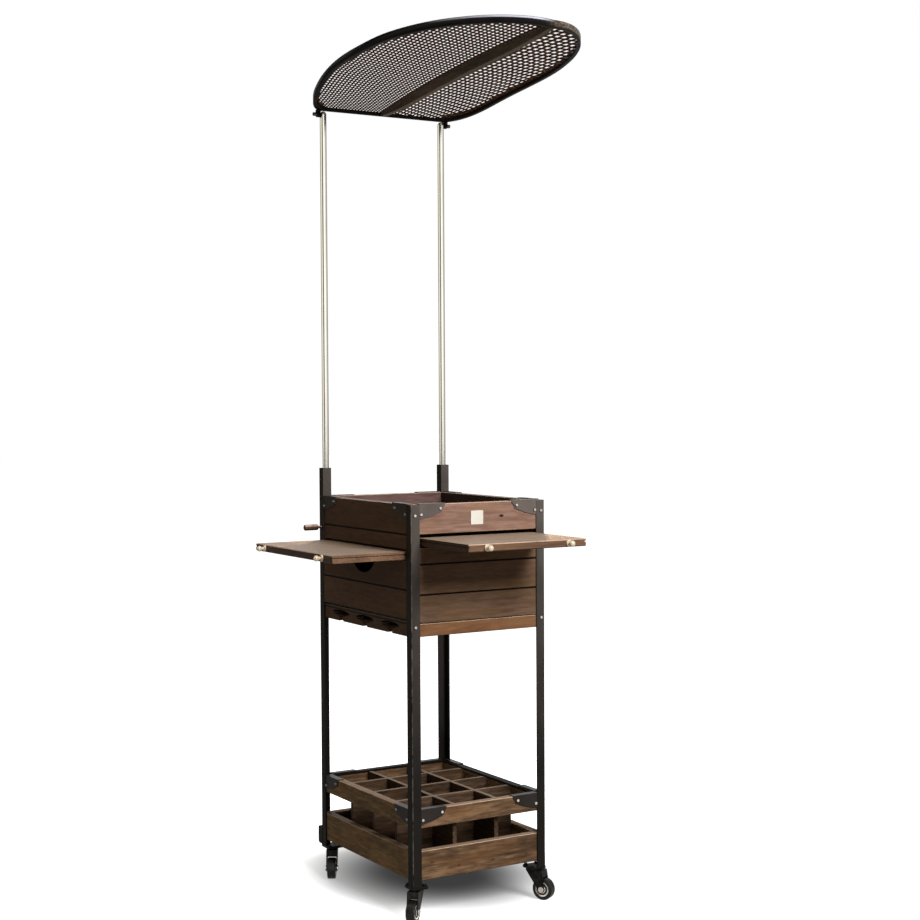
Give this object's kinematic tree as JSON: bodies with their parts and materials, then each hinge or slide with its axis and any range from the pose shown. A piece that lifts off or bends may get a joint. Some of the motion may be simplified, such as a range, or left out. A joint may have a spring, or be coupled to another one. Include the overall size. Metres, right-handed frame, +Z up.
{
  "type": "bar cart",
  "caption": "Wooden bar cart with a tray, pull-out boards, drawer, stem rack and bottle rack, on casters, with a leaf-shaped canopy on poles.",
  "frame": {"origin": "on the floor, under the middle of the post plan", "axes": "+Z up, -Y to the front with the badge plate and the front board, -X to the drawer side"},
  "size_m": [0.6086, 0.7705, 1.9429],
  "materials": {
    "posts": "satin",
    "brackets": "satin",
    "planks": "oiled",
    "rack": "oiled",
    "boards": "oiled",
    "drawer": "oiled",
    "bright_metal": "polished",
    "badge": "brushed",
    "poles": "polished",
    "canopy_frame": "stained",
    "hinge_pins": "satin",
    "net": "woven",
    "clamp_knobs": "oiled",
    "bumpers": "matte",
    "casters": "gloss",
    "wheels": "matte"
  },
  "bodies": {
    "cart": {"front_left_post": "posts", "front_right_post": "posts", "rear_left_post": "posts", "rear_right_post": "posts", "pole_sockets": "posts", "corner_brackets": "brackets", "tray_front_plank": "planks", "tray_rear_plank": "planks", "tray_side_planks": "planks", "tray_deck": "planks", "front_panel_planks": "planks", "rear_panel_planks": "planks", "right_panel_planks": "planks", "left_apron": "planks", "bottom_rails": "planks", "box_floor": "planks", "stem_fascia": "planks", "stem_lips": "planks", "stem_spacers": "planks", "board_runners": "planks", "rack_upper_rails": "rack", "rack_lower_rails": "rack", "rack_floor": "rack", "rack_long_dividers": "rack", "rack_cross_dividers": "rack", "screws": "bright_metal", "badge_plate": "badge", "rear_bumpers": "bumpers", "caster_plates": "casters", "caster_bolts": "casters"},
    "front_board_body": {"front_board": "boards", "front_board_knobs": "bright_metal"},
    "left_board_body": {"left_board": "boards", "left_board_knobs": "bright_metal"},
    "drawer": {"drawer_upper_front": "drawer", "drawer_lower_front": "drawer", "drawer_sides": "drawer", "drawer_back": "drawer", "drawer_bottom": "drawer"},
    "mast": {"left_pole": "poles", "right_pole": "poles", "hinge_pins": "hinge_pins"},
    "canopy": {"canopy_rim": "canopy_frame", "canopy_rib": "canopy_frame", "canopy_left_net": "net", "canopy_right_net": "net"},
    "left_clamp": {"left_clamp_knob": "clamp_knobs"},
    "right_clamp": {"right_clamp_knob": "clamp_knobs"},
    "front_left_caster": {"front_left_fork": "casters", "front_left_axle": "bright_metal"},
    "front_left_roller": {"front_left_wheel": "wheels"},
    "front_right_caster": {"front_right_fork": "casters", "front_right_axle": "bright_metal"},
    "front_right_roller": {"front_right_wheel": "wheels"},
    "rear_left_caster": {"rear_left_fork": "casters", "rear_left_axle": "bright_metal"},
    "rear_left_roller": {"rear_left_wheel": "wheels"},
    "rear_right_caster": {"rear_right_fork": "casters", "rear_right_axle": "bright_metal"},
    "rear_right_roller": {"rear_right_wheel": "wheels"}
  },
  "joints": [
    {"name": "front_board_slide", "type": "slide", "parent": "cart", "child": "front_board_body", "axis": [0, -1, 0], "range_m": [-0.198, 0.06]},
    {"name": "left_board_slide", "type": "slide", "parent": "cart", "child": "left_board_body", "axis": [-1, 0, 0], "range_m": [-0.176, 0.05]},
    {"name": "drawer_slide", "type": "slide", "parent": "cart", "child": "drawer", "axis": [-1, 0, 0], "range_m": [0, 0.22]},
    {"name": "mast_lift", "type": "slide", "parent": "cart", "child": "mast", "axis": [0, 0, 1], "range_m": [0, 0.15]},
    {"name": "canopy_tilt", "type": "hinge", "parent": "mast", "child": "canopy", "pos_m": [0, 0.2125, 1.831], "axis": [-1, 0, 0], "range_deg": [-50, 35]},
    {"name": "left_clamp_turn", "type": "hinge", "parent": "cart", "child": "left_clamp", "pos_m": [-0.19, 0.2125, 0.846], "axis": [-1, 0, 0], "range_deg": [0, 360]},
    {"name": "right_clamp_turn", "type": "hinge", "parent": "cart", "child": "right_clamp", "pos_m": [0.19, 0.2125, 0.846], "axis": [1, 0, 0], "range_deg": [0, 360]},
    {"name": "front_left_swivel", "type": "hinge", "parent": "cart", "child": "front_left_caster", "pos_m": [-0.156, -0.206, 0.066], "axis": [0, 0, 1], "continuous": true},
    {"name": "front_left_roll", "type": "hinge", "parent": "front_left_caster", "child": "front_left_roller", "pos_m": [-0.17457, -0.22274, 0.025], "axis": [0.6696, -0.7427, 0], "continuous": true},
    {"name": "front_right_swivel", "type": "hinge", "parent": "cart", "child": "front_right_caster", "pos_m": [0.156, -0.206, 0.066], "axis": [0, 0, 1], "continuous": true},
    {"name": "front_right_roll", "type": "hinge", "parent": "front_right_caster", "child": "front_right_roller", "pos_m": [0.16773, -0.22808, 0.025], "axis": [0.8832, 0.4691, 0], "continuous": true},
    {"name": "rear_left_swivel", "type": "hinge", "parent": "cart", "child": "rear_left_caster", "pos_m": [-0.156, 0.206, 0.066], "axis": [0, 0, 1], "continuous": true},
    {"name": "rear_left_roll", "type": "hinge", "parent": "rear_left_caster", "child": "rear_left_roller", "pos_m": [-0.16888, 0.18457, 0.025], "axis": [0.8571, -0.5151, 0], "continuous": true},
    {"name": "rear_right_swivel", "type": "hinge", "parent": "cart", "child": "rear_right_caster", "pos_m": [0.156, 0.206, 0.066], "axis": [0, 0, 1], "continuous": true},
    {"name": "rear_right_roll", "type": "hinge", "parent": "rear_right_caster", "child": "rear_right_roller", "pos_m": [0.161, 0.1815, 0.025], "axis": [0.9798, 0.2, 0], "continuous": true}
  ]
}
